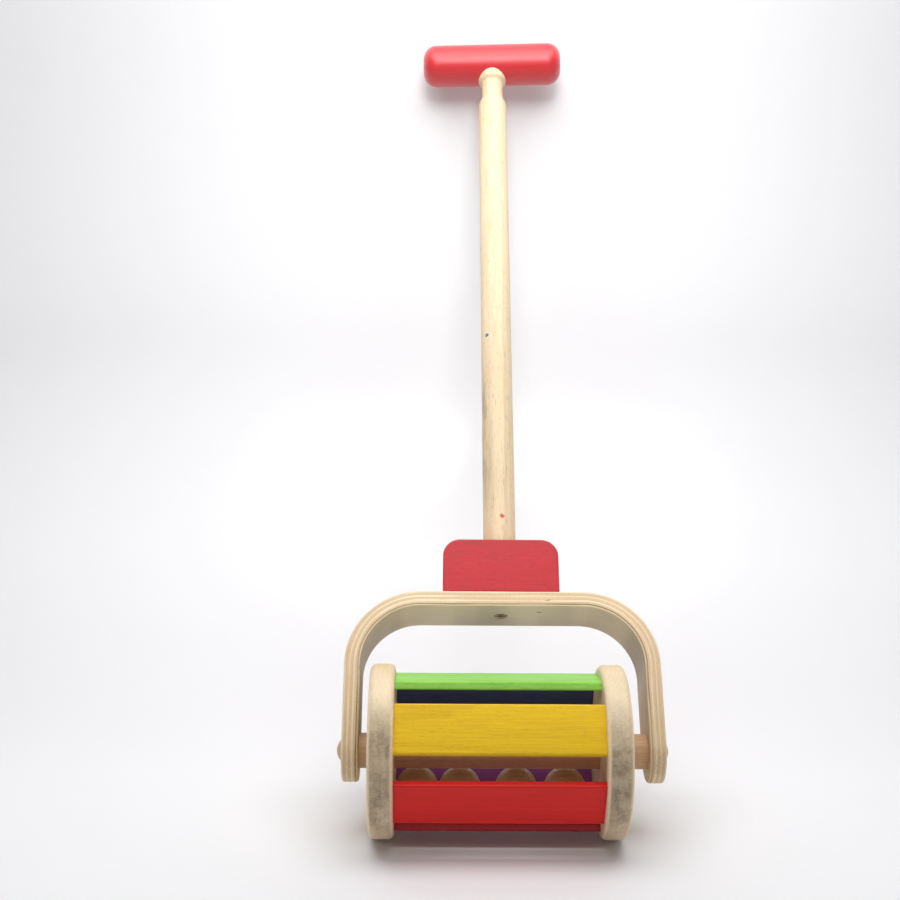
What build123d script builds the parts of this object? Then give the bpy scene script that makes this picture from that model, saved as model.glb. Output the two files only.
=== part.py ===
"""Push-along road roller toy: a rolling slatted drum with loose balls, on a long T handle.

Millimetres, +Z up.  The toy stands on its drum and its handle leans back as in use.
The origin is on the floor, at the middle of the whole toy's bounding box.

Two local frames are used, both with their origin on the drum's axis:
- the handle frame, with +Z along the pole and -Y towards the front of the toy;
- the drum frame, with +X along the axis.
"""
from build123d import *
from math import cos, radians, sin, sqrt
import os

# Whole toy
LEAN = 37.1                 # angle of the pole from vertical, degrees
AXIS_TO_GRIP = 524.7        # drum axis to grip axis, along the pole

# Drum
DISC_DIAMETER = 100.0
DISC_THICKNESS = 14.5
DISC_EDGE_ROUND = 3.4
DRUM_INSIDE = 118.8         # clear length between the two discs
DRUM_SHIFT = -3.4           # the drum sits a little to the left on its axle
BORE_CLEARANCE = 0.35       # radial play of the discs on the axle
SLAT_WIDTH = 29.0
SLAT_THICKNESS = 4.8
SLAT_OUTER_FACE = 43.1      # drum axis to a slat's outer face
SLAT_EDGE_ROUND = 1.1
SLAT_SEAT_DEPTH = 4.0       # depth of the blind slots that hold the slat ends
SLAT_PHASE = 38.6           # first slat's angle up from the front, degrees
SLAT_PITCH = 60.0
SLAT_NAMES = ("yellow", "green", "blue", "purple", "crimson", "orange")

# Balls, lying in the gap between the purple and the crimson slat
BALL_DIAMETER = 25.0
BALL_GAP_ANGLE = SLAT_PHASE + 3.5 * SLAT_PITCH
BALL_CLEARANCE = 0.35
BALL_POSITIONS = (-49.9, -24.6, 8.8, 37.8)

# Axle and its pegs
AXLE_DIAMETER = 20.2
PEG_SHANK_DIAMETER = 10.0
PEG_SHANK_IN_AXLE = 18.0
PEG_HEAD_DIAMETER = 13.5
PEG_HEAD_HEIGHT = 3.3

# Yoke, bent from one plywood strip
YOKE_INSIDE = 167.2
YOKE_THICKNESS = 9.8
YOKE_WIDTH = 36.0
YOKE_TOP = 92.8             # drum axis to the strip's upper face
YOKE_BEND_RADIUS = 45.0     # outer radius of the two bends
YOKE_EDGE_ROUND = 1.7

# Block on the yoke
BLOCK_LENGTH = 70.8
BLOCK_DEPTH = 30.0
BLOCK_HEIGHT = 35.2
BLOCK_CORNER = 10.6
BLOCK_EDGE_ROUND = 1.2
POLE_SEAT_DEPTH = 22.0      # blind hole for the pole's foot

# Pole
POLE_DIAMETER = 20.4
NECK_DIAMETER = 15.4
POLE_IN_GRIP = 6.0          # the pole ends this far above the grip's axis
NECK_TOP = -20.0            # the neck's ends, measured from the grip's axis
NECK_BOTTOM = -32.0
NECK_FLARE_TOP = 4.0
NECK_FLARE_BOTTOM = 9.0

# Grip
GRIP_DIAMETER = 30.5
GRIP_LENGTH = 103.2
GRIP_END_ROUND = 10.0
GRIP_TWIST = 2.7            # the grip's turn on the pole, right end forward, degrees

# Screw and dowels that hold the yoke, the block and the pole together
SCREW_DIAMETER = 5.0
SCREW_LENGTH = 42.0
SCREW_HEAD_DIAMETER = 7.6
SCREW_HEAD_HEIGHT = 2.4
SCREW_RECESS_WIDTH = 2.6
SCREW_RECESS_DEPTH = 1.4
COUNTERBORE_DIAMETER = 8.8
COUNTERBORE_DEPTH = 4.6
WASHER_THICKNESS = 0.8
WASHER_DIAMETER = 8.6
DOWEL_DIAMETER = 6.0
DOWEL_LENGTH = 16.0
DOWEL_SPACING = 46.0
DOWEL_IN_YOKE = 6.0

drum_radius = DISC_DIAMETER / 2
axle_radius = AXLE_DIAMETER / 2
grip_radius = GRIP_DIAMETER / 2
yoke_half = YOKE_INSIDE / 2 + YOKE_THICKNESS
yoke_underside = YOKE_TOP - YOKE_THICKNESS

# The box reaches from the drum's front to the back of the grip's left half.
straight_half = GRIP_LENGTH / 2 - GRIP_END_ROUND
twist_reach = straight_half * sin(radians(GRIP_TWIST)) * cos(radians(LEAN))
back_reach = AXIS_TO_GRIP * sin(radians(LEAN)) + grip_radius + twist_reach
axis_y = (drum_radius - back_reach) / 2

drum_place = Pos(0, axis_y, drum_radius)
handle_place = drum_place * Rot(-LEAN, 0, 0)


def rod(radius, x_from, x_to):
    """Round bar along X between two places."""
    length = x_to - x_from
    return Pos((x_from + x_to) / 2, 0, 0) * Rot(0, 90, 0) * Cylinder(radius, length)


def upright_rod(radius, z_from, z_to, x=0.0):
    """Round bar along Z between two heights."""
    return Pos(x, 0, (z_from + z_to) / 2) * Cylinder(radius, z_to - z_from)


# ---- handle frame ----------------------------------------------------------

def make_grip():
    bar = rod(grip_radius, -GRIP_LENGTH / 2, GRIP_LENGTH / 2)
    bar = fillet(bar.edges().filter_by(GeomType.CIRCLE), GRIP_END_ROUND)
    bar = Pos(0, 0, AXIS_TO_GRIP) * Rot(0, 0, -GRIP_TWIST) * bar
    return bar - upright_rod(POLE_DIAMETER / 2, AXIS_TO_GRIP - 40, AXIS_TO_GRIP + POLE_IN_GRIP)


def make_pole():
    """Dowel with a turned neck just below the grip."""
    full = POLE_DIAMETER / 2
    neck = NECK_DIAMETER / 2
    foot = YOKE_TOP + BLOCK_HEIGHT - POLE_SEAT_DEPTH
    head = AXIS_TO_GRIP + POLE_IN_GRIP
    neck_low = AXIS_TO_GRIP + NECK_BOTTOM
    neck_high = AXIS_TO_GRIP + NECK_TOP
    flare_low = neck_low - NECK_FLARE_BOTTOM
    flare_high = neck_high + NECK_FLARE_TOP
    up = (0, 1)
    with BuildPart() as pole:
        with BuildSketch(Plane.XZ):
            with BuildLine():
                Polyline((0, head), (0, foot), (full, foot), (full, flare_low))
                Spline((full, flare_low), (neck, neck_low), tangents=(up, up))
                Line((neck, neck_low), (neck, neck_high))
                Spline((neck, neck_high), (full, flare_high), tangents=(up, up))
                Polyline((full, flare_high), (full, head), (0, head))
            make_face()
        revolve(axis=Axis.Z)
    return pole.part - upright_rod(SCREW_DIAMETER / 2, foot, screw_tip())


def make_block():
    """Block with two rounded upper corners, bored for the pole, the screw and the dowels."""
    middle = Pos(0, 0, YOKE_TOP + BLOCK_HEIGHT / 2)
    block = middle * Box(BLOCK_LENGTH, BLOCK_DEPTH, BLOCK_HEIGHT)
    top_corners = block.edges().filter_by(Axis.Y).sort_by(Axis.Z)[-2:]
    block = fillet(top_corners, BLOCK_CORNER)
    faces = block.faces().sort_by(Axis.Y)
    rims = faces[0].edges() + faces[-1].edges()
    block = fillet(rims, BLOCK_EDGE_ROUND)
    seat_bottom = YOKE_TOP + BLOCK_HEIGHT - POLE_SEAT_DEPTH
    block -= upright_rod(POLE_DIAMETER / 2, seat_bottom, YOKE_TOP + BLOCK_HEIGHT + 5)
    block -= upright_rod(SCREW_DIAMETER / 2, YOKE_TOP - 1, seat_bottom + 1)
    for x in (-DOWEL_SPACING / 2, DOWEL_SPACING / 2):
        block -= dowel_at(x)
    return block


def dowel_at(x):
    bottom = YOKE_TOP - DOWEL_IN_YOKE
    return upright_rod(DOWEL_DIAMETER / 2, bottom, bottom + DOWEL_LENGTH, x)


def u_outline(half_width, top, bend_radius, bottom):
    """Closed upside-down U outline, filled, in the XZ plane, extruded over the strip's width."""
    with BuildPart() as solid:
        with BuildSketch(Plane.XZ):
            with BuildLine():
                shoulder = top - bend_radius
                crown = half_width - bend_radius
                Line((-half_width, bottom), (-half_width, shoulder))
                RadiusArc((-half_width, shoulder), (-crown, top), bend_radius)
                Line((-crown, top), (crown, top))
                RadiusArc((crown, top), (half_width, shoulder), bend_radius)
                Line((half_width, shoulder), (half_width, bottom))
                Line((half_width, bottom), (-half_width, bottom))
            make_face()
        extrude(amount=YOKE_WIDTH / 2, both=True)
    return solid.part


def make_yoke():
    """Strip bent into a U, with half-round leg ends about the drum's axis."""
    leg_end = YOKE_WIDTH / 2
    outer = u_outline(yoke_half, YOKE_TOP, YOKE_BEND_RADIUS, -leg_end)
    inner_bend = YOKE_BEND_RADIUS - YOKE_THICKNESS
    inner = u_outline(YOKE_INSIDE / 2, yoke_underside, inner_bend, -leg_end - 5)
    side = rod(leg_end, -yoke_half, yoke_half)
    side += Pos(0, 0, YOKE_TOP / 2) * Box(2 * yoke_half, YOKE_WIDTH, YOKE_TOP)
    yoke = (outer - inner) & side
    front = yoke.faces().sort_by(Axis.Y)[0]
    back = yoke.faces().sort_by(Axis.Y)[-1]
    yoke = fillet(front.edges() + back.edges(), YOKE_EDGE_ROUND)
    yoke -= rod(PEG_SHANK_DIAMETER / 2, -yoke_half - 1, yoke_half + 1)
    yoke -= upright_rod(SCREW_DIAMETER / 2, yoke_underside - 1, YOKE_TOP + 1)
    recess_top = yoke_underside + COUNTERBORE_DEPTH
    yoke -= upright_rod(COUNTERBORE_DIAMETER / 2, yoke_underside - 1, recess_top)
    for x in (-DOWEL_SPACING / 2, DOWEL_SPACING / 2):
        yoke -= dowel_at(x)
    return yoke


def washer_bottom():
    return yoke_underside + COUNTERBORE_DEPTH - WASHER_THICKNESS


def screw_tip():
    return washer_bottom() + SCREW_LENGTH


def make_washer():
    top = washer_bottom() + WASHER_THICKNESS
    ring = upright_rod(WASHER_DIAMETER / 2, washer_bottom(), top)
    return ring - upright_rod(SCREW_DIAMETER / 2, washer_bottom(), top)


def make_screw():
    """Pan-head wood screw with a cross recess, driven up through the yoke into the pole."""
    seat = washer_bottom()
    shank = upright_rod(SCREW_DIAMETER / 2, seat, screw_tip())
    head = upright_rod(SCREW_HEAD_DIAMETER / 2, seat - SCREW_HEAD_HEIGHT, seat)
    low_rim = head.edges().filter_by(GeomType.CIRCLE).sort_by(Axis.Z)[0]
    head = fillet(low_rim, SCREW_HEAD_HEIGHT / 2)
    slot_middle = Pos(0, 0, seat - SCREW_HEAD_HEIGHT + SCREW_RECESS_DEPTH / 2)
    slot_length = SCREW_HEAD_DIAMETER * 0.55
    slot_width = SCREW_RECESS_WIDTH / 2
    head -= slot_middle * Box(slot_length, slot_width, SCREW_RECESS_DEPTH)
    head -= slot_middle * Box(slot_width, slot_length, SCREW_RECESS_DEPTH)
    return shank + head


def make_axle():
    """Fixed dowel between the yoke's legs, bored at both ends for the pegs."""
    half = YOKE_INSIDE / 2
    axle = rod(axle_radius, -half, half)
    for side in (-1, 1):
        ends = sorted((side * half, side * (half - PEG_SHANK_IN_AXLE)))
        axle -= rod(PEG_SHANK_DIAMETER / 2, ends[0], ends[1])
    return axle


def make_peg(side):
    """Dowel peg with a low domed head outside the yoke's leg."""
    head_radius = PEG_HEAD_DIAMETER / 2
    shank_radius = PEG_SHANK_DIAMETER / 2
    inner = YOKE_INSIDE / 2 - PEG_SHANK_IN_AXLE
    dome_radius = (head_radius ** 2 + PEG_HEAD_HEIGHT ** 2) / (2 * PEG_HEAD_HEIGHT)
    tip = yoke_half + PEG_HEAD_HEIGHT
    with BuildPart() as peg:
        with BuildSketch(Plane.XY):
            with BuildLine():
                Polyline((tip, 0), (inner, 0), (inner, shank_radius), (yoke_half, shank_radius),
                         (yoke_half, head_radius))
                RadiusArc((yoke_half, head_radius), (tip, 0), dome_radius)
            make_face()
        revolve(axis=Axis.X)
    return Rot(0, 0, 0 if side > 0 else 180) * peg.part


# ---- drum frame ------------------------------------------------------------

def slat_bar(angle, x_from, x_to):
    """A slat's section between two places along the axis, at its angle round the drum."""
    length = x_to - x_from
    bar = Box(length, SLAT_THICKNESS, SLAT_WIDTH)
    bar = fillet(bar.edges().filter_by(Axis.X), SLAT_EDGE_ROUND)
    out = SLAT_OUTER_FACE - SLAT_THICKNESS / 2
    bar = Pos((x_from + x_to) / 2, -out, 0) * bar
    return Rot(-angle, 0, 0) * bar


def slat_angle(index):
    return SLAT_PHASE + index * SLAT_PITCH


def make_slat(index):
    reach = DRUM_INSIDE / 2 + SLAT_SEAT_DEPTH
    return slat_bar(slat_angle(index), DRUM_SHIFT - reach, DRUM_SHIFT + reach)


def make_disc(side):
    """Thick wooden disc with rounded rims, an axle bore and six blind slots for the slats."""
    near = DRUM_SHIFT + side * DRUM_INSIDE / 2
    far = near + side * DISC_THICKNESS
    disc = rod(drum_radius, min(near, far), max(near, far))
    disc = fillet(disc.edges().filter_by(GeomType.CIRCLE), DISC_EDGE_ROUND)
    disc -= rod(axle_radius + BORE_CLEARANCE, min(near, far) - 1, max(near, far) + 1)
    seat = near + side * SLAT_SEAT_DEPTH
    for index in range(len(SLAT_NAMES)):
        disc -= slat_bar(slat_angle(index), min(near, seat), max(near, seat))
    return disc


def ball_distance():
    """Drum axis to a ball's centre, with the ball lying on the edges of two slats."""
    inner_face = SLAT_OUTER_FACE - SLAT_THICKNESS
    half_pitch = radians(SLAT_PITCH / 2)
    corner_out = inner_face * cos(half_pitch) + SLAT_WIDTH / 2 * sin(half_pitch)
    half_gap = inner_face * sin(half_pitch) - SLAT_WIDTH / 2 * cos(half_pitch)
    reach = BALL_DIAMETER / 2 + BALL_CLEARANCE
    return corner_out - sqrt(reach ** 2 - half_gap ** 2)


def make_ball(x):
    return Rot(-BALL_GAP_ANGLE, 0, 0) * Pos(x, -ball_distance(), 0) * Sphere(BALL_DIAMETER / 2)


# ---- all nodes, by name ----------------------------------------------------

handle_nodes = {
    "grip": make_grip(),
    "pole": make_pole(),
    "block": make_block(),
    "yoke": make_yoke(),
    "yoke_screw": make_screw(),
    "yoke_washer": make_washer(),
    "block_dowel_left": dowel_at(-DOWEL_SPACING / 2),
    "block_dowel_right": dowel_at(DOWEL_SPACING / 2),
    "axle": make_axle(),
    "peg_left": make_peg(-1),
    "peg_right": make_peg(1),
}
drum_nodes = {"disc_left": make_disc(-1), "disc_right": make_disc(1)}
for number, name in enumerate(SLAT_NAMES):
    drum_nodes["slat_" + name] = make_slat(number)
for number, x in enumerate(BALL_POSITIONS, start=1):
    drum_nodes["ball_%d" % number] = make_ball(x)

os.makedirs("parts", exist_ok=True)
for place, nodes in ((handle_place, handle_nodes), (drum_place, drum_nodes)):
    for name, shape in nodes.items():
        export_step(place * shape, "parts/%s.step" % name)
print("drum axis at y %.3f, z %.3f mm; ball centres %.3f mm from it"
      % (axis_y, drum_radius, ball_distance()))
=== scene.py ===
"""Looks of the push-along toy road roller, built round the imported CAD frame.

The toy's shapes are the frame's own meshes, and this script gives them procedural materials. It
adds the photo's camera, light and paper sheet. Lengths are in metres, unless a comment says
otherwise.
"""
import bpy
from math import cos, pi, radians, sin
from mathutils import Matrix, Vector


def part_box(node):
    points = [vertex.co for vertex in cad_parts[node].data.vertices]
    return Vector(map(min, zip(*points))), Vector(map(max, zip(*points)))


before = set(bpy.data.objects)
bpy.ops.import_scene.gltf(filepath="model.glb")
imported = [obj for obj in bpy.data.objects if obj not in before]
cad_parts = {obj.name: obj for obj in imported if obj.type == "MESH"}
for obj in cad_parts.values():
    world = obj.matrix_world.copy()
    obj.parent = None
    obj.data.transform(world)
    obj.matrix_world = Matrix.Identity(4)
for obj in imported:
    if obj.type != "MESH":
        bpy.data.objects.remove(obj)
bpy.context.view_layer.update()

# ---- places and sizes, from the frame --------------------------------------

MM = 0.001


def middle(node):
    """Centre of a node's box."""
    low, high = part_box(node)
    return (Vector(low) + Vector(high)) / 2


def extent(node):
    """Size of a node's box along each axis."""
    low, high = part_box(node)
    return Vector(high) - Vector(low)


AXIS_POINT = middle("axle")         # on the axle, midway across the toy
AXIS_POINT.x = 0.0
LEAN = (middle("grip") - AXIS_POINT).angle(Vector((0, 0, 1)))   # of the handle, backwards
DISC_RADIUS = extent("disc_left").z / 2
YOKE_HALF_WIDTH = extent("yoke").x / 2

SLAT_COLOURS = ("yellow", "green", "blue", "purple", "crimson", "orange")   # round the drum
SLAT_STEP = pi / 3
yellow_out = middle("slat_yellow") - AXIS_POINT
SLAT_PHASE = Vector((0, -1, 0)).angle(Vector((0, yellow_out.y, yellow_out.z)))

# the yoke's strip, measured in the handle's frame
PLY_COUNT = 7
PLY_STRIP = 9.8 * MM                # thickness of the whole strip
YOKE_TOP = 92.8 * MM                # from the axle up to the yoke's upper face
BEND_RADIUS = 45.0 * MM             # outside of both bends
BEND_CENTRE = Vector((YOKE_HALF_WIDTH - BEND_RADIUS, 0, YOKE_TOP - BEND_RADIUS))

# ---- colours ---------------------------------------------------------------


def linear(red, green, blue):
    """Linear colour from 0-255 display values."""
    def channel(value):
        value /= 255
        return value / 12.92 if value <= 0.04045 else ((value + 0.055) / 1.055) ** 2.4
    return channel(red), channel(green), channel(blue)


# pairs: the wood itself, and its late rings and fibres
PALE = (linear(240, 220, 184), linear(208, 176, 132))
ROD = (linear(222, 186, 148), linear(192, 152, 114))
BALL = (linear(234, 196, 148), linear(196, 150, 100))
DISC = (linear(248, 228, 192), linear(214, 186, 144))
STAINS = {
    "yellow": (linear(240, 200, 12), linear(206, 156, 8)),
    "green": (linear(148, 222, 64), linear(96, 178, 32)),
    "blue": (linear(74, 96, 156), linear(52, 70, 122)),
    "purple": (linear(152, 72, 146), linear(112, 50, 110)),
    "crimson": (linear(180, 6, 20), linear(140, 4, 14)),
    "orange": (linear(228, 16, 4), linear(194, 8, 3)),
}
GRIP_PAINT = (linear(210, 18, 32), linear(162, 14, 28))
# painted shade: the block's red is a darker copy of the grip's paint, against the card light that
# falls on the block
BLOCK_PAINT_SHADED = (linear(190, 16, 30), linear(142, 10, 22))

PLY_LIGHT = linear(240, 222, 190)
PLY_TAN = linear(216, 188, 146)
PLY_BROWN = linear(180, 148, 108)
PLY_GLUE = linear(98, 78, 50)
PLY_KNOT = linear(72, 50, 34)
PLY_FACE = linear(252, 232, 202)

# painted shade: real grey grime on the rims, made darker to stand in for the shade on the discs'
# lower fronts
RIM_GRIME_AND_SHADE = linear(88, 70, 50)
POLE_GRIME = linear(128, 116, 102)
BLUE_MARK = linear(70, 112, 132)
RED_MARK = linear(196, 92, 76)
STEEL = (0.30, 0.28, 0.23, 1)

PAPER_FLOOR = (0.88, 0.88, 0.89)
# painted light on the paper's curve and painted shade up its wall, standing in for how the lamps
# light the paper
PAPER_CURVE_PAINTED_LIGHT = (0.95, 0.95, 0.96)
PAPER_WALL_PAINTED_SHADE = (0.80, 0.80, 0.81)

# ---- camera ----------------------------------------------------------------

CAMERA_FROM_AXIS = Vector((-0.0400, -0.7595, 0.3121))
CAMERA_PAN = radians(0.58)          # to the right
CAMERA_TILT = radians(-10.0)        # downwards
CAMERA_ROLL = radians(0.51)         # anticlockwise, seen from behind the camera
FOCAL_LENGTH = 54.98                # mm
SENSOR_WIDTH = 36.0                 # mm
VIEW_DISTANCE = 20.0


def make_camera():
    forward = Vector((sin(CAMERA_PAN) * cos(CAMERA_TILT),
                      cos(CAMERA_PAN) * cos(CAMERA_TILT),
                      sin(CAMERA_TILT)))
    right = Vector((cos(CAMERA_PAN), -sin(CAMERA_PAN), 0))
    up = right.cross(forward)
    rolled_right = right * cos(CAMERA_ROLL) + up * sin(CAMERA_ROLL)
    rolled_up = up * cos(CAMERA_ROLL) - right * sin(CAMERA_ROLL)
    turn = Matrix((rolled_right, rolled_up, -forward)).transposed().to_4x4()
    data = bpy.data.cameras.new("camera")
    data.lens = FOCAL_LENGTH
    data.sensor_width = SENSOR_WIDTH
    data.clip_end = VIEW_DISTANCE
    camera = bpy.data.objects.new("camera", data)
    camera.matrix_world = Matrix.Translation(AXIS_POINT + CAMERA_FROM_AXIS) @ turn
    bpy.context.collection.objects.link(camera)
    bpy.context.scene.camera = camera


# ---- shader building -------------------------------------------------------

# the colour sockets of a mix node, which has one set of sockets for each kind of data
MIX_FIRST = 6
MIX_SECOND = 7
MIX_RESULT = 2


def four_channels(value):
    """A colour with its fourth channel, or a socket as it is."""
    if isinstance(value, bpy.types.NodeSocket):
        return value
    return (*value, 1.0)


class Shader:
    """A material's node tree, with one short method for each kind of node."""

    def __init__(self, name):
        self.material = bpy.data.materials.new(name)
        self.material.use_nodes = True
        self.tree = self.material.node_tree
        self.tree.nodes.clear()
        self.surface = self.add("ShaderNodeBsdfPrincipled")
        self.output = self.add("ShaderNodeOutputMaterial")
        self.plug(self.surface.outputs["BSDF"], self.output.inputs["Surface"])

    def add(self, kind, **settings):
        node = self.tree.nodes.new(kind)
        for key, value in settings.items():
            setattr(node, key, value)
        return node

    def plug(self, value, socket):
        """Links an output, or sets a plain value."""
        if isinstance(value, bpy.types.NodeSocket):
            self.tree.links.new(value, socket)
        else:
            socket.default_value = value

    def coordinates(self):
        return self.add("ShaderNodeTexCoord").outputs["Object"]

    def local(self, tilt=0.0):
        """Coordinates from the axle's middle, in a frame tilted about the axle."""
        node = self.add("ShaderNodeMapping", vector_type="TEXTURE")
        self.plug(self.coordinates(), node.inputs["Vector"])
        node.inputs["Location"].default_value = AXIS_POINT
        node.inputs["Rotation"].default_value = (tilt, 0, 0)
        return node.outputs["Vector"]

    def stretch(self, vector, scale, offset=(0, 0, 0)):
        node = self.add("ShaderNodeMapping")
        self.plug(vector, node.inputs["Vector"])
        node.inputs["Location"].default_value = offset
        node.inputs["Scale"].default_value = scale
        return node.outputs["Vector"]

    def noise(self, vector, scale, detail, roughness=0.5, distortion=0.0, offset=(0, 0, 0)):
        """Noise with scale repeats per metre: one number, or one for each axis."""
        if isinstance(scale, tuple):
            vector = self.stretch(vector, scale, offset)
            scale = 1.0
        node = self.add("ShaderNodeTexNoise")
        self.plug(vector, node.inputs["Vector"])
        node.inputs["Scale"].default_value = scale
        node.inputs["Detail"].default_value = detail
        node.inputs["Roughness"].default_value = roughness
        node.inputs["Distortion"].default_value = distortion
        return node.outputs["Fac"]

    def cells(self, vector, scale):
        """Distance to the nearest of some scattered points."""
        node = self.add("ShaderNodeTexVoronoi")
        self.plug(self.stretch(vector, scale), node.inputs["Vector"])
        node.inputs["Scale"].default_value = 1.0
        return node.outputs["Distance"]

    def math(self, operation, first, second=0.0, third=0.0, clamp=False):
        node = self.add("ShaderNodeMath", operation=operation, use_clamp=clamp)
        self.plug(first, node.inputs[0])
        self.plug(second, node.inputs[1])
        self.plug(third, node.inputs[2])
        return node.outputs[0]

    def hypotenuse(self, first, second):
        squares = self.math("ADD", self.math("MULTIPLY", first, first),
                            self.math("MULTIPLY", second, second))
        return self.math("SQRT", squares)

    def step(self, value, low, high, out_low=0.0, out_high=1.0):
        """Smooth change from out_low to out_high as value goes from low to high."""
        node = self.add("ShaderNodeMapRange", interpolation_type="SMOOTHSTEP")
        self.plug(value, node.inputs["Value"])
        for key, number in (("From Min", low), ("From Max", high),
                            ("To Min", out_low), ("To Max", out_high)):
            self.plug(number, node.inputs[key])
        return node.outputs["Result"]

    def split(self, vector):
        node = self.add("ShaderNodeSeparateXYZ")
        self.plug(vector, node.inputs[0])
        return node.outputs[0], node.outputs[1], node.outputs[2]

    def join(self, x, y, z):
        node = self.add("ShaderNodeCombineXYZ")
        for value, socket in zip((x, y, z), node.inputs):
            self.plug(value, socket)
        return node.outputs[0]

    def mix(self, factor, first, second):
        node = self.add("ShaderNodeMix", data_type="RGBA")
        self.plug(factor, node.inputs["Factor"])
        self.plug(four_channels(first), node.inputs[MIX_FIRST])
        self.plug(four_channels(second), node.inputs[MIX_SECOND])
        return node.outputs[MIX_RESULT]

    def bump(self, height, distance, strength=0.5):
        node = self.add("ShaderNodeBump")
        self.plug(height, node.inputs["Height"])
        node.inputs["Distance"].default_value = distance
        node.inputs["Strength"].default_value = strength
        self.plug(node.outputs["Normal"], self.surface.inputs["Normal"])

    def finish(self, base, roughness, **values):
        """The material, with its colour, its roughness and any other surface values."""
        self.plug(base, self.surface.inputs["Base Color"])
        self.plug(roughness, self.surface.inputs["Roughness"])
        for key, value in values.items():
            self.surface.inputs[key.replace("_", " ")].default_value = value
        return self.material


# ---- frames that the grain follows -----------------------------------------

DISC_BOARD_ANGLE = 0.35             # radians, of the discs' grain at rest


def cross_grain(shader):
    """Handle frame with X across the toy, for the grip and the block."""
    return shader.local(-LEAN)


def handle_grain(shader):
    """Handle frame, turned so that X runs along the pole."""
    x, y, z = shader.split(shader.local(-LEAN))
    return shader.join(z, x, y)


def drum_grain(shader):
    """Drum frame at rest, with X along the axle."""
    return shader.local()


def slat_grain(angle):
    """Drum frame turned so that the outer face of the slat at this angle looks along -Y."""
    return lambda shader: shader.local(-angle)


def disc_grain(shader):
    """Drum frame with the board's grain running across the disc."""
    x, y, z = shader.split(shader.local(DISC_BOARD_ANGLE))
    return shader.join(z, x, y)


# ---- wood ------------------------------------------------------------------

# Scales are noise repeats per metre: along the grain, then across it. Levels are the two values
# that a smooth step runs between; a second pair, if any, says what the step gives there.
SEED_SHIFT = (0.37, 0.61, 0.23)     # offset of the noise for each step of the seed
WANDER_SCALE = (9, 45, 45)
WANDER = 7 * MM                     # slow straying of the growth rings
WOBBLE_SCALE = (60, 300, 300)
WOBBLE = 0.5 * MM                   # quick straying
LATE_WOOD_POWER = 2.5               # how late in a ring it darkens
RING_END_LEVELS = (1.0, 0.9)        # where a ring falls back to light
FIBRE_SCALE = (35, 1500, 1500)
PORE_SCALE = (190, 2300, 2300)
PORE_LEVELS = (0.62, 0.74)


def wood_pattern(shader, vector, pith, ring_gap, seed):
    """Growth rings, fibres and pores, from coordinates in metres with the grain along X.

    Returns (rings, fibres, pores), each from 0 to 1.
    """
    shift = tuple(seed * part for part in SEED_SHIFT)
    wander = shader.noise(vector, WANDER_SCALE, detail=3.0, offset=shift)
    wobble = shader.noise(vector, WOBBLE_SCALE, detail=2.0, offset=shift)
    y, z = shader.split(vector)[1:]
    radius = shader.hypotenuse(shader.math("SUBTRACT", y, pith[0]),
                               shader.math("SUBTRACT", z, pith[1]))
    radius = shader.math("MULTIPLY_ADD", wander, WANDER, radius)
    radius = shader.math("MULTIPLY_ADD", wobble, WOBBLE, radius)
    turns = shader.math("FRACT", shader.math("DIVIDE", radius, ring_gap))
    late = shader.math("POWER", turns, LATE_WOOD_POWER)
    rings = shader.math("MULTIPLY", late, shader.step(turns, *RING_END_LEVELS))
    fibres = shader.noise(vector, FIBRE_SCALE, detail=3.0, roughness=0.6, offset=shift)
    dashes = shader.noise(vector, PORE_SCALE, detail=1.0, offset=shift)
    pores = shader.step(dashes, *PORE_LEVELS)
    return rings, fibres, pores


BARE_RING_GAP = 2.6 * MM
BARE_FIBRE_LEVELS = (0.35, 0.75)
BARE_FIBRE_DEPTH = 0.28
TONE_SCALE = (6, 40, 40)
TONE_LEVELS = (0.35, 0.7)
TONE_DEPTH = 0.22
PORE_DEPTH = 0.55
PORE_SHADE = 0.45                   # of the wood's dark colour
BARE_FIBRE_RELIEF = 0.5             # of the pores' depth
BARE_BUMP = 0.06 * MM


def bare_wood(name, vector_of, shades, seed, marks=None, pith=(0.03, 0.02), ring_depth=0.35,
              roughness=0.48, specular=0.4):
    """Pale lacquered wood. The function marks, if given, adds wear to its colour, and on the
    discs painted shade as well.
    """
    light, dark = shades
    shader = Shader(name)
    vector = vector_of(shader)
    rings, fibres, pores = wood_pattern(shader, vector, pith, BARE_RING_GAP, seed)
    streaks = shader.step(fibres, *BARE_FIBRE_LEVELS)
    tone = shader.step(shader.noise(vector, TONE_SCALE, detail=2.0), *TONE_LEVELS)
    depth = shader.math("MULTIPLY", rings, ring_depth)
    depth = shader.math("MULTIPLY_ADD", streaks, BARE_FIBRE_DEPTH, depth)
    depth = shader.math("MULTIPLY_ADD", tone, TONE_DEPTH, depth, clamp=True)
    base = shader.mix(depth, light, dark)
    pore = tuple(PORE_SHADE * value for value in dark)
    base = shader.mix(shader.math("MULTIPLY", pores, PORE_DEPTH), base, pore)
    if marks:
        base = marks(shader, base)
    raised = shader.math("MULTIPLY", fibres, BARE_FIBRE_RELIEF)
    height = shader.math("SUBTRACT", raised, pores)
    shader.bump(height, BARE_BUMP)
    return shader.finish(base, roughness, Specular_IOR_Level=specular)


STAINED_PITH = (0.04, 0.01)         # centre of the growth rings, across the grain
STAINED_RING_GAP = 3.0 * MM
STAINED_FIBRE_LEVELS = (0.3, 0.75)
STAINED_PORE_DEPTH = 0.5
FLECK_SCALE = (260, 900, 900)
FLECK_LEVELS = (0.45, 0.7)
STAINED_FIBRE_RELIEF = 0.6          # of the pores' depth
STAINED_BUMP = 0.05 * MM
GLOSS_LEVELS = (0.2, 0.8)           # of the fibres, for the range of roughness below
SMOOTHER = 0.06
ROUGHER = 0.08


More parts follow.
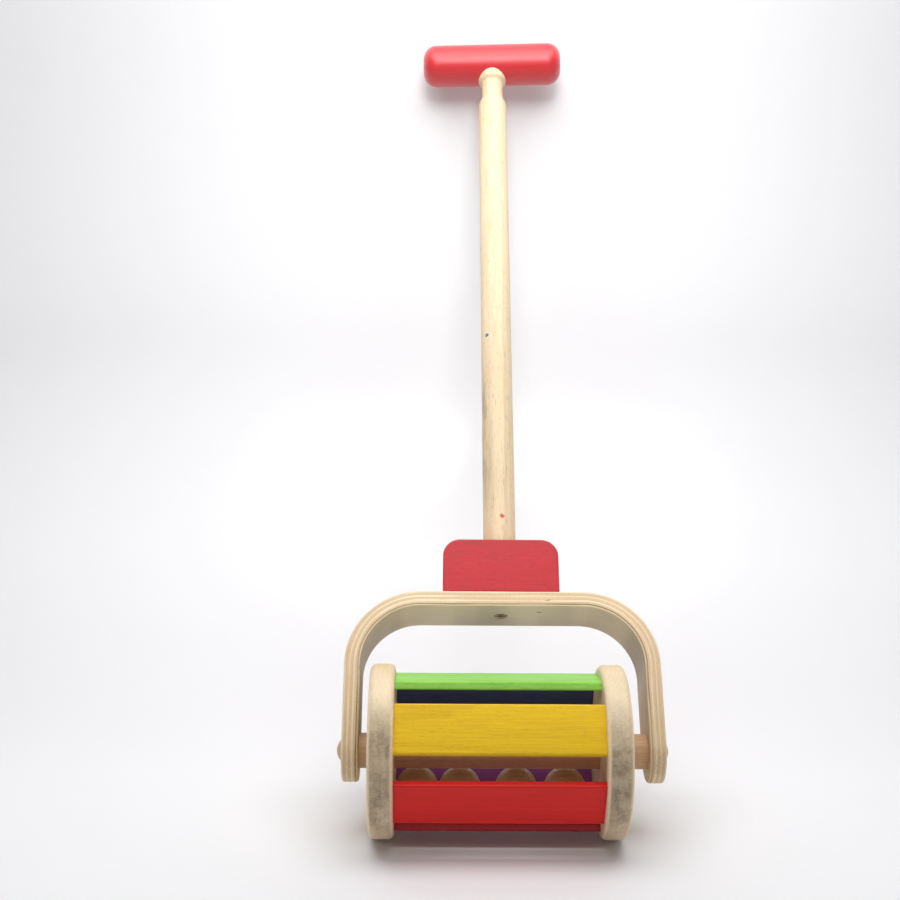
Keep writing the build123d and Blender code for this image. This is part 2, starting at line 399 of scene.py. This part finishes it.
def stained_wood(name, vector_of, shades, seed, fibre_depth=0.4, ring_depth=0.28,
                 fleck_depth=0.12, roughness=0.34, specular=0.35, **values):
    """Wood under a satin stain that lets the grain show."""
    full, deep = shades
    shader = Shader(name)
    vector = vector_of(shader)
    rings, fibres, pores = wood_pattern(shader, vector, STAINED_PITH, STAINED_RING_GAP, seed)
    streaks = shader.step(fibres, *STAINED_FIBRE_LEVELS)
    flecks = shader.noise(vector, FLECK_SCALE, detail=3.0, roughness=0.6, distortion=1.0)
    flecks = shader.step(flecks, *FLECK_LEVELS)
    depth = shader.math("MULTIPLY", rings, ring_depth)
    depth = shader.math("MULTIPLY_ADD", streaks, fibre_depth, depth)
    depth = shader.math("MULTIPLY_ADD", pores, STAINED_PORE_DEPTH, depth)
    depth = shader.math("MULTIPLY_ADD", flecks, fleck_depth, depth, clamp=True)
    base = shader.mix(depth, full, deep)
    raised = shader.math("MULTIPLY", fibres, STAINED_FIBRE_RELIEF)
    height = shader.math("SUBTRACT", raised, pores)
    shader.bump(height, STAINED_BUMP)
    rough = shader.step(fibres, *GLOSS_LEVELS, roughness - SMOOTHER, roughness + ROUGHER)
    return shader.finish(base, rough, Specular_IOR_Level=specular, **values)


# ---- plywood ---------------------------------------------------------------

# Scales here are along the strip, across its width, and through its thickness.
PLY_WAVER_SCALE = (14, 60, 60)
PLY_WAVER = 0.5 * MM                # how far the glue lines stray
FACE_KEEP = 0.2                     # of a layer: the faces stay clear of glue lines
GLUE_EDGE = 0.49                    # of a layer from its middle, where glue is full
GLUE_START = 0.41                   # where glue begins
INNER_GLUE_WIDER = -0.45            # added to that at the innermost layer
INNER_START = 1.6                   # layers from the inner face
INNER_FULL = 1.3
INNER_GLUE_DARKER = 0.35
PATCH_SCALE = (22, 5, 700)
PATCH_LEVELS = (0.35, 0.65, 0.15, 0.6)
PLY_FIBRE_SCALE = (30, 900, 1800)
PLY_FIBRE_LEVELS = (0.3, 0.75)
END_GRAIN_SCALE = (1100, 60, 1600)
END_GRAIN_LEVELS = (0.3, 0.7)
END_GRAIN_DEPTH = 0.6               # how much every second layer shows it
FACE_START = 0.5                    # layers inside a face, where its colour begins
FACE_FULL = 0.3
FACE_DEPTH = 0.6
BROAD_SCALE = (10, 60, 200)
BROAD_LEVELS = (0.45, 0.75, 0.0, 0.35)
KNOT_SCALE = (38, 70, 330)
KNOT_LEVELS = (0.09, 0.03, 0.0, 0.75)
KNOT_CHANCE_SCALE = (31, 31, 31)
KNOT_CHANCE_LEVELS = (0.5, 0.56)
PLY_FIBRE_RELIEF = 0.4              # of the glue lines' depth
PLY_BUMP = 0.06 * MM


def strip_coordinates(shader):
    """Coordinates that follow the yoke's strip: (run along it, across its width, depth in it)."""
    x, y, z = shader.split(shader.local(-LEAN))
    side = shader.math("ABSOLUTE", x)
    out_x = shader.math("MAXIMUM", shader.math("SUBTRACT", side, BEND_CENTRE.x), 0.0)
    out_z = shader.math("MAXIMUM", shader.math("SUBTRACT", z, BEND_CENTRE.z), 0.0)
    depth = shader.math("SUBTRACT", BEND_RADIUS, shader.hypotenuse(out_x, out_z))
    angle = shader.math("ARCTAN2", out_x, out_z)
    run = shader.math("MINIMUM", side, BEND_CENTRE.x)
    run = shader.math("MULTIPLY_ADD", angle, BEND_RADIUS - PLY_STRIP / 2, run)
    down = shader.math("MAXIMUM", shader.math("SUBTRACT", BEND_CENTRE.z, z), 0.0)
    run = shader.math("ADD", run, down)
    run = shader.math("MULTIPLY", run, shader.math("SIGN", x))
    return run, y, depth


def plywood(name):
    """Bent plywood: layers by depth through the strip, grain along the strip."""
    shader = Shader(name)
    run, across_width, depth = strip_coordinates(shader)
    strip = shader.join(run, across_width, depth)
    # the layer, counted from the strip's outer face, and how far it is from its own middle
    waver = shader.noise(strip, PLY_WAVER_SCALE, detail=3.0)
    wavy = shader.math("MULTIPLY_ADD", waver, PLY_WAVER, depth)
    wavy = shader.math("SUBTRACT", wavy, PLY_WAVER / 2)
    layer = shader.math("DIVIDE", wavy, PLY_STRIP / PLY_COUNT)
    layer = shader.math("MAXIMUM", layer, FACE_KEEP)
    layer = shader.math("MINIMUM", layer, PLY_COUNT - FACE_KEEP)
    place = shader.math("FRACT", layer)
    odd = shader.math("MODULO", shader.math("FLOOR", layer), 2.0)
    off_middle = shader.math("ABSOLUTE", shader.math("SUBTRACT", place, 0.5))
    # glue lines, patchy along the strip, and wider and darker at the innermost layer
    inner = shader.step(layer, PLY_COUNT - INNER_START, PLY_COUNT - INNER_FULL)
    glue_start = shader.math("MULTIPLY_ADD", inner, INNER_GLUE_WIDER, GLUE_START)
    glue = shader.step(off_middle, glue_start, GLUE_EDGE)
    patchy = shader.step(shader.noise(strip, PATCH_SCALE, detail=2.0), *PATCH_LEVELS)
    darker = shader.math("MULTIPLY", inner, INNER_GLUE_DARKER)
    strength = shader.math("ADD", patchy, darker)
    # layers along the strip show long fibres, and layers across it show fine end grain
    long_fibres = shader.noise(strip, PLY_FIBRE_SCALE, detail=3.0, roughness=0.6)
    end_grain = shader.noise(strip, END_GRAIN_SCALE, detail=2.0, roughness=0.6)
    along = shader.mix(shader.step(long_fibres, *PLY_FIBRE_LEVELS), PLY_LIGHT, PLY_TAN)
    across = shader.mix(shader.step(end_grain, *END_GRAIN_LEVELS), PLY_TAN, PLY_BROWN)
    base = shader.mix(shader.math("MULTIPLY", odd, END_GRAIN_DEPTH), along, across)
    # the strip's outer and inner faces
    half = PLY_COUNT / 2
    off_centre = shader.math("ABSOLUTE", shader.math("SUBTRACT", layer, half))
    face = shader.step(off_centre, half - FACE_START, half - FACE_FULL, 0.0, FACE_DEPTH)
    base = shader.mix(face, base, PLY_FACE)
    base = shader.mix(shader.math("MULTIPLY", glue, strength), base, PLY_GLUE)
    broad = shader.noise(strip, BROAD_SCALE, detail=2.0)
    base = shader.mix(shader.step(broad, *BROAD_LEVELS), base, PLY_TAN)
    # a few small dark knots
    knots = shader.step(shader.cells(strip, KNOT_SCALE), *KNOT_LEVELS)
    chance = shader.noise(strip, KNOT_CHANCE_SCALE, detail=1.0)
    chance = shader.step(chance, *KNOT_CHANCE_LEVELS)
    base = shader.mix(shader.math("MULTIPLY", knots, chance), base, PLY_KNOT)
    raised = shader.math("MULTIPLY", long_fibres, PLY_FIBRE_RELIEF)
    height = shader.math("SUBTRACT", raised, glue)
    shader.bump(height, PLY_BUMP)
    return shader.finish(base, 0.46, Specular_IOR_Level=0.4)


# ---- wear and painted shade ------------------------------------------------

DIRT_SCALE = (40, 260, 260)
DIRT_LEVELS = (0.4, 0.7, 0.2, 1.0)
DIRT_SIDE_LEVELS = (-2 * MM, -10 * MM, 0.0, 0.6)    # across the pole, towards its left
DIRT_FOOT_LEVELS = (0.13, 0.19)     # up the pole: where dirt begins
DIRT_TOP_LEVELS = (0.28, 0.22)      # and where it ends
# millimetres in the handle's grain frame (up the pole, across, depth with front as minus)
POLE_MARKS = (((280, -6.5, -7.9), BLUE_MARK), ((146, 1.5, -10.0), RED_MARK))
MARK_LEVELS = (3.0 * MM, 2.2 * MM)  # from a mark's middle
MARK_NOISE_SCALE = 900.0
MARK_RAGGEDNESS = 2.4 * MM


def scuffs(shader, base):
    """Two small marks on the front of the pole, and grey handling dirt low on its left."""
    vector = handle_grain(shader)
    up, side = shader.split(vector)[:2]
    dirt = shader.noise(vector, DIRT_SCALE, detail=3.0, roughness=0.6)
    dirt = shader.math("MULTIPLY", shader.step(dirt, *DIRT_LEVELS),
                       shader.step(side, *DIRT_SIDE_LEVELS))
    near_foot = shader.math("MULTIPLY", shader.step(up, *DIRT_FOOT_LEVELS),
                            shader.step(up, *DIRT_TOP_LEVELS))
    base = shader.mix(shader.math("MULTIPLY", dirt, near_foot), base, POLE_GRIME)
    ragged = shader.noise(vector, MARK_NOISE_SCALE, detail=2.0)
    for centre, tint in POLE_MARKS:
        away = shader.add("ShaderNodeVectorMath", operation="DISTANCE")
        shader.plug(vector, away.inputs[0])
        away.inputs[1].default_value = Vector(centre) * MM
        reach = shader.math("MULTIPLY_ADD", ragged, MARK_RAGGEDNESS, away.outputs["Value"])
        base = shader.mix(shader.step(reach, *MARK_LEVELS), base, tint)
    return base


RIM_LEVELS = (DISC_RADIUS - 1.2 * MM, DISC_RADIUS - 0.1 * MM)
FRONT_SLOPE = 0.3                   # the wear and painted shade climb by this much towards the front
WEAR_AND_SHADE_LEVELS = (6 * MM, 38 * MM, 0.95, 0.12)         # up the disc, above its centre
FOOT_WEAR_AND_SHADE_LEVELS = (-50 * MM, -30 * MM, 0.6, 1.0)
CLOUD_SCALE = 60.0
CLOUD_LEVELS = (0.32, 0.68, 0.5, 1.0)
SMEAR_SCALE = (420, 90, 90)
SMEAR_LEVELS = (0.36, 0.7, 0.6, 0.8)
SCRATCH_SCALE = (240, 2400, 2400)
SCRATCH_LEVELS = (0.45, 0.7, 0.0, 0.2)


def rim_grime_and_shade(shader, base):
    """Grey wear and painted shade on the flat of the rim, heavier on the lower part of the side
    that is in front at rest, where shade falls.
    """
    vector = shader.local()
    y, z = shader.split(vector)[1:]
    rim = shader.step(shader.hypotenuse(y, z), *RIM_LEVELS)
    height = shader.math("MULTIPLY_ADD", y, FRONT_SLOPE, z)
    worn_and_shaded = shader.math("MULTIPLY", shader.step(height, *WEAR_AND_SHADE_LEVELS),
                       shader.step(height, *FOOT_WEAR_AND_SHADE_LEVELS))
    cloud = shader.noise(vector, CLOUD_SCALE, detail=4.0, roughness=0.65)
    cloud = shader.step(cloud, *CLOUD_LEVELS)
    smears = shader.noise(vector, SMEAR_SCALE, detail=4.0, roughness=0.7)
    scratches = shader.noise(vector, SCRATCH_SCALE, detail=2.0, roughness=0.6)
    marks = shader.math("ADD", shader.step(smears, *SMEAR_LEVELS),
                        shader.step(scratches, *SCRATCH_LEVELS))
    # painted shade: the grime is strongest low on the front of the rim, where the shade falls
    amount = shader.math("MULTIPLY", shader.math("MULTIPLY", rim, worn_and_shaded), cloud)
    amount = shader.math("MULTIPLY", amount, marks, clamp=True)
    return shader.mix(amount, base, RIM_GRIME_AND_SHADE)


STEEL_SCRATCH_SCALE = 900.0
STEEL_GLOSS_LEVELS = (0.2, 0.8, 0.3, 0.5)
STEEL_BUMP = 0.02 * MM


def steel(name):
    """Zinc-plated steel with fine scratches."""
    shader = Shader(name)
    scratches = shader.noise(shader.coordinates(), STEEL_SCRATCH_SCALE, detail=3.0)
    shader.bump(scratches, STEEL_BUMP, strength=0.4)
    rough = shader.step(scratches, *STEEL_GLOSS_LEVELS)
    return shader.finish(STEEL, rough, Metallic=1.0)


# ---- materials on the pieces -----------------------------------------------

def paint_node(node, material):
    """Gives a CAD node one material."""
    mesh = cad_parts[node].data
    mesh.materials.clear()
    mesh.materials.append(material)


def dress():
    dowel = bare_wood("dowel_wood", handle_grain, PALE, seed=1)
    for node in ("block_dowel_left", "block_dowel_right"):
        paint_node(node, dowel)
    paint_node("pole", bare_wood("pole_wood", handle_grain, PALE, seed=1, marks=scuffs,
                                 pith=(0.012, 0.03)))
    for seed, node in enumerate(("axle", "peg_left", "peg_right"), start=2):
        paint_node(node, bare_wood(node + "_wood", drum_grain, ROD, seed))
    for seed, node in enumerate(("disc_left", "disc_right"), start=5):
        paint_node(node, bare_wood(node + "_wood", disc_grain, DISC, seed, marks=rim_grime_and_shade,
                                   ring_depth=0.15, specular=0.35))
    for seed, node in enumerate(("ball_1", "ball_2", "ball_3", "ball_4"), start=8):
        paint_node(node, bare_wood(node + "_wood", drum_grain, BALL, seed, roughness=0.38,
                                   specular=0.45))
    for index, name in enumerate(SLAT_COLOURS):
        grain = slat_grain(SLAT_PHASE + index * SLAT_STEP)
        paint_node("slat_" + name, stained_wood(name + "_stain", grain, STAINS[name],
                                                seed=20 + index))
    paint_node("grip", stained_wood("grip_paint", cross_grain, GRIP_PAINT, seed=31,
                                    fibre_depth=0.16, ring_depth=0.05, fleck_depth=0.15,
                                    roughness=0.4, specular=0.8, Sheen_Weight=0.35,
                                    Sheen_Roughness=0.5))
    # painted shade: the block gets the darker copy of the red paint
    paint_node("block", stained_wood("block_paint_shaded", cross_grain, BLOCK_PAINT_SHADED, seed=33,
                                     fibre_depth=0.2, ring_depth=0.1, fleck_depth=0.3,
                                     specular=0.4, Sheen_Weight=0.04, Sheen_Roughness=0.3))
    paint_node("yoke", plywood("yoke_plywood"))
    metal = steel("zinc_steel")
    for node in ("yoke_screw", "yoke_washer"):
        paint_node(node, metal)


# ---- stage -----------------------------------------------------------------

WALL_GAP = 4 * MM                   # behind the grip
SHEET_HALF_WIDTH = 6.0
SHEET_FRONT = -9.0
SHEET_TOP = 2.4
CURVE_RADIUS = 0.26
CURVE_STEPS = 24
CURVE_HEIGHTS = (0.0, 0.12)         # where the paper's floor tone turns into the painted light of its curve
WALL_HEIGHTS = (0.28, 0.55)         # where that turns into the painted shade of its wall


def sheet_mesh():
    """Floor, soft curve, and a back wall just behind the grip, as one strip of faces."""
    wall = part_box("grip")[1][1] + WALL_GAP
    outline = [(SHEET_FRONT, 0.0), (wall - CURVE_RADIUS, 0.0)]
    for step in range(1, CURVE_STEPS + 1):
        angle = pi / 2 * step / CURVE_STEPS
        outline.append((wall - CURVE_RADIUS + CURVE_RADIUS * sin(angle),
                        CURVE_RADIUS - CURVE_RADIUS * cos(angle)))
    outline.append((wall, SHEET_TOP))
    points = []
    for y, z in outline:
        points += [(-SHEET_HALF_WIDTH, y, z), (SHEET_HALF_WIDTH, y, z)]
    faces = []
    for first in range(0, len(points) - 2, 2):
        faces.append((first, first + 1, first + 3, first + 2))
    mesh = bpy.data.meshes.new("stage")
    mesh.from_pydata(points, [], faces)
    for face in mesh.polygons:
        face.use_smooth = True
    return mesh


def paper():
    """Matt paper with only a front: its back lets light and sight through, so that the toy
    can be looked at from behind and from below."""
    shader = Shader("stage_paper")
    height = shader.split(shader.coordinates())[2]
    # painted light and shade: the paper is brighter on its curve and darker up its wall
    tone = shader.mix(shader.step(height, *CURVE_HEIGHTS), PAPER_FLOOR, PAPER_CURVE_PAINTED_LIGHT)
    tone = shader.mix(shader.step(height, *WALL_HEIGHTS), tone, PAPER_WALL_PAINTED_SHADE)
    shader.finish(tone, 0.7, Specular_IOR_Level=0.2)
    one_sided = shader.add("ShaderNodeMixShader")
    clear = shader.add("ShaderNodeBsdfTransparent")
    backfacing = shader.add("ShaderNodeNewGeometry").outputs["Backfacing"]
    shader.plug(backfacing, one_sided.inputs[0])
    shader.plug(shader.surface.outputs["BSDF"], one_sided.inputs[1])
    shader.plug(clear.outputs["BSDF"], one_sided.inputs[2])
    shader.plug(one_sided.outputs["Shader"], shader.output.inputs["Surface"])
    return shader.material


def make_stage():
    mesh = sheet_mesh()
    mesh.materials.append(paper())
    stage = bpy.data.objects.new("stage", mesh)
    bpy.context.collection.objects.link(stage)


# ---- light -----------------------------------------------------------------

# name, place, target, size, watts, spread in degrees
LIGHTS = (
    ("top_light", (-0.02, -0.20, 1.0), (-0.02, -0.14, 0.1), (1.1, 0.6), 7.7, 180),
    ("grip_light", (0.0, -0.55, 0.85), (0.0, 0.15, 0.45), (0.3, 0.3), 0.42, 60),
    ("front_fill", (-0.3, -2.0, 1.1), (0, 0, 0.2), (1.6, 1.0), 0.1, 180),
    ("card_light", (0.0, -1.0, 0.14), (0, -0.08, 0.13), (0.3, 0.03), 0.03, 9),
)
WORLD_COLOUR = (0.97, 0.96, 1.0, 1)
WORLD_STRENGTH = 0.27


def area_light(name, place, target, size, power, spread):
    data = bpy.data.lights.new(name, "AREA")
    data.shape = "RECTANGLE"
    data.size, data.size_y = size
    data.energy = power
    data.spread = radians(spread)
    light = bpy.data.objects.new(name, data)
    light.location = place
    light.rotation_euler = (Vector(target) - Vector(place)).to_track_quat("-Z", "Y").to_euler()
    bpy.context.collection.objects.link(light)


def make_light():
    for light in LIGHTS:
        area_light(*light)
    world = bpy.data.worlds.new("studio")
    world.use_nodes = True
    background = world.node_tree.nodes["Background"]
    background.inputs["Color"].default_value = WORLD_COLOUR
    background.inputs["Strength"].default_value = WORLD_STRENGTH
    bpy.context.scene.world = world
    bpy.context.scene.view_settings.view_transform = "Standard"


make_camera()
dress()
make_stage()
make_light()
